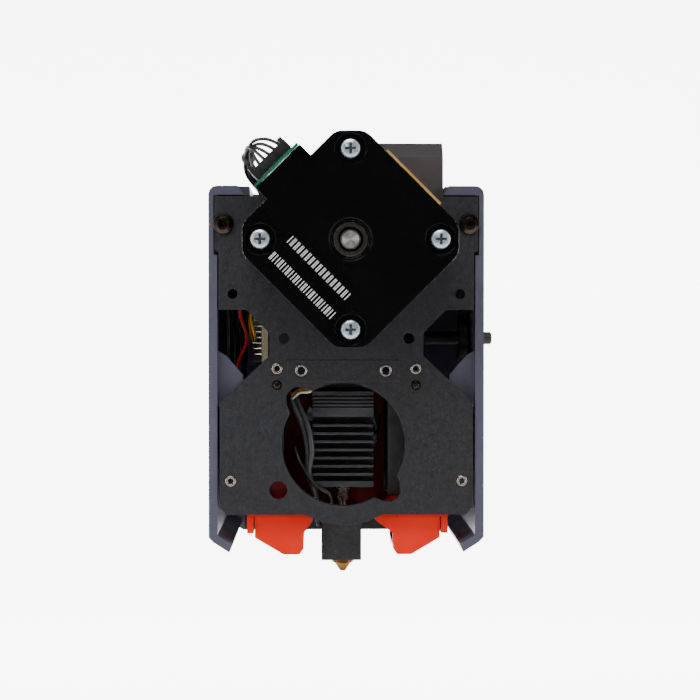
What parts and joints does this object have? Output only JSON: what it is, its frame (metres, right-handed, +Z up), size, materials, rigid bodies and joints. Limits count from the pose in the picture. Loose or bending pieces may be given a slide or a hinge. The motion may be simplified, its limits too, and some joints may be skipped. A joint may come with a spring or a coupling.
{
  "type": "print head",
  "caption": "Direct-drive print head: pancake motor, geared filament drive with release button, finned hot end, side blowers and air ducts under one cover.",
  "frame": {"origin": "on the raised carriage land of the back plate, midway between its two carriage inserts", "axes": "+X right as seen from the carriage, +Y away from the carriage towards the printer's front, +Z up along the filament path, nozzle pointing to -Z"},
  "size_m": [0.0748, 0.0769, 0.1155],
  "materials": {
    "black_gloss": "gloss",
    "stator_steel": "satin",
    "rotor_steel": "satin",
    "steel": "polished",
    "zinc": "bright zinc",
    "black_plastic": "matt",
    "green_board": "solder mask",
    "amber_film": "clear film",
    "dark_plate": "textured powder coat",
    "casing": "matt",
    "gear_plastic": "satin",
    "button_plastic": "matt",
    "anodised_black": "black anodised",
    "aluminium": "machined",
    "black_rubber": "silicone",
    "brass": "machined",
    "duct_plastic": "satin",
    "cover_paint": "satin",
    "board_edge": "laminate",
    "red_wire": "satin"
  },
  "bodies": {
    "head": {"air_duct_left": "duct_plastic", "air_duct_right": "duct_plastic", "arm_pivot_pin": "steel", "back_plate": "dark_plate", "blower_housing_left": "black_plastic", "blower_housing_right": "black_plastic", "carriage_insert_left": "steel", "carriage_insert_right": "steel", "cover_screw_left": "black_plastic", "cover_screw_right": "black_plastic", "cover_shell": "cover_paint", "drive_bearing_front": "steel", "drive_bearing_rear": "steel", "extruder_body": "casing", "filament_inlet": "black_plastic", "gear_case": "casing", "heat_break": "steel", "heater_block": "aluminium", "heater_cartridge": "steel", "heatsink": "anodised_black", "hotend_fan_frame": "black_plastic", "lower_insert_left": "steel", "lower_insert_right": "steel", "motor_board": "green_board", "motor_cable": "black_rubber", "motor_connector": "black_plastic", "motor_front_bearing": "steel", "motor_front_flange": "black_gloss", "motor_insulation_strip": "amber_film", "motor_mount_screw_bottom": "black_plastic", "motor_mount_screw_left": "black_plastic", "motor_rear_bearing": "steel", "motor_rear_cap": "black_gloss", "motor_screw_bottom": "zinc", "motor_screw_left": "zinc", "motor_screw_right": "zinc", "motor_screw_top": "zinc", "motor_stator": "stator_steel", "nozzle": "brass", "ribbon_cable": "black_rubber", "silicone_sock": "black_rubber", "supply_wire": "red_wire", "thermistor": "steel", "toolhead_board": "board_edge", "torsion_spring": "steel", "waist_stud_left": "steel", "waist_stud_right": "steel"},
    "motor_rotor_group": {"motor_rotor": "rotor_steel", "motor_shaft": "steel", "motor_pinion": "steel"},
    "drive_train": {"reduction_gear": "gear_plastic", "drive_shaft": "steel", "drive_gear": "steel"},
    "arm": {"tension_arm": "casing", "idler_pin": "steel"},
    "idler": {"idler_gear": "steel"},
    "button": {"release_button": "button_plastic"},
    "fan_wheel": {"hotend_fan_impeller": "black_plastic"},
    "blower_wheel_left": {"blower_impeller_left": "black_plastic"},
    "blower_wheel_right": {"blower_impeller_right": "black_plastic"}
  },
  "joints": [
    {"name": "motor_spin", "type": "hinge", "parent": "head", "child": "motor_rotor_group", "pos_m": [0.00059, 0, 0.03245], "axis": [0, 1, 0], "continuous": true},
    {"name": "drive_spin", "type": "hinge", "parent": "head", "child": "drive_train", "pos_m": [0.0046, 0, 0.04586], "axis": [0, 1, 0], "continuous": true},
    {"name": "arm_release", "type": "hinge", "parent": "head", "child": "arm", "pos_m": [-0.006, 0.0155, 0.0539], "axis": [0, 1, 0], "range_deg": [0, 3.75], "stiffness_Nm_per_rad": 0.5, "springref_deg": -5.73},
    {"name": "idler_spin", "type": "hinge", "parent": "arm", "child": "idler", "pos_m": [-0.00616, 0.016, 0.04586], "axis": [0, 1, 0], "continuous": true},
    {"name": "release_slide", "type": "slide", "parent": "head", "child": "button", "axis": [-1, 0, 0], "range_m": [0, 0.003]},
    {"name": "fan_spin", "type": "hinge", "parent": "head", "child": "fan_wheel", "pos_m": [-0.0026, 0.029, -0.018], "axis": [0, 1, 0], "continuous": true},
    {"name": "blower_spin_left", "type": "hinge", "parent": "head", "child": "blower_wheel_left", "pos_m": [-0.0223, 0.021, -0.0175], "axis": [1, 0, 0], "continuous": true},
    {"name": "blower_spin_right", "type": "hinge", "parent": "head", "child": "blower_wheel_right", "pos_m": [0.016, 0.021, -0.0175], "axis": [1, 0, 0], "continuous": true}
  ],
  "couplings": [
    {"joint": "drive_spin", "follows": "motor_spin", "ratio": -0.4},
    {"joint": "idler_spin", "follows": "motor_spin", "ratio": 0.4},
    {"joint": "release_slide", "follows": "arm_release", "m_per_rad": 0.045703}
  ]
}
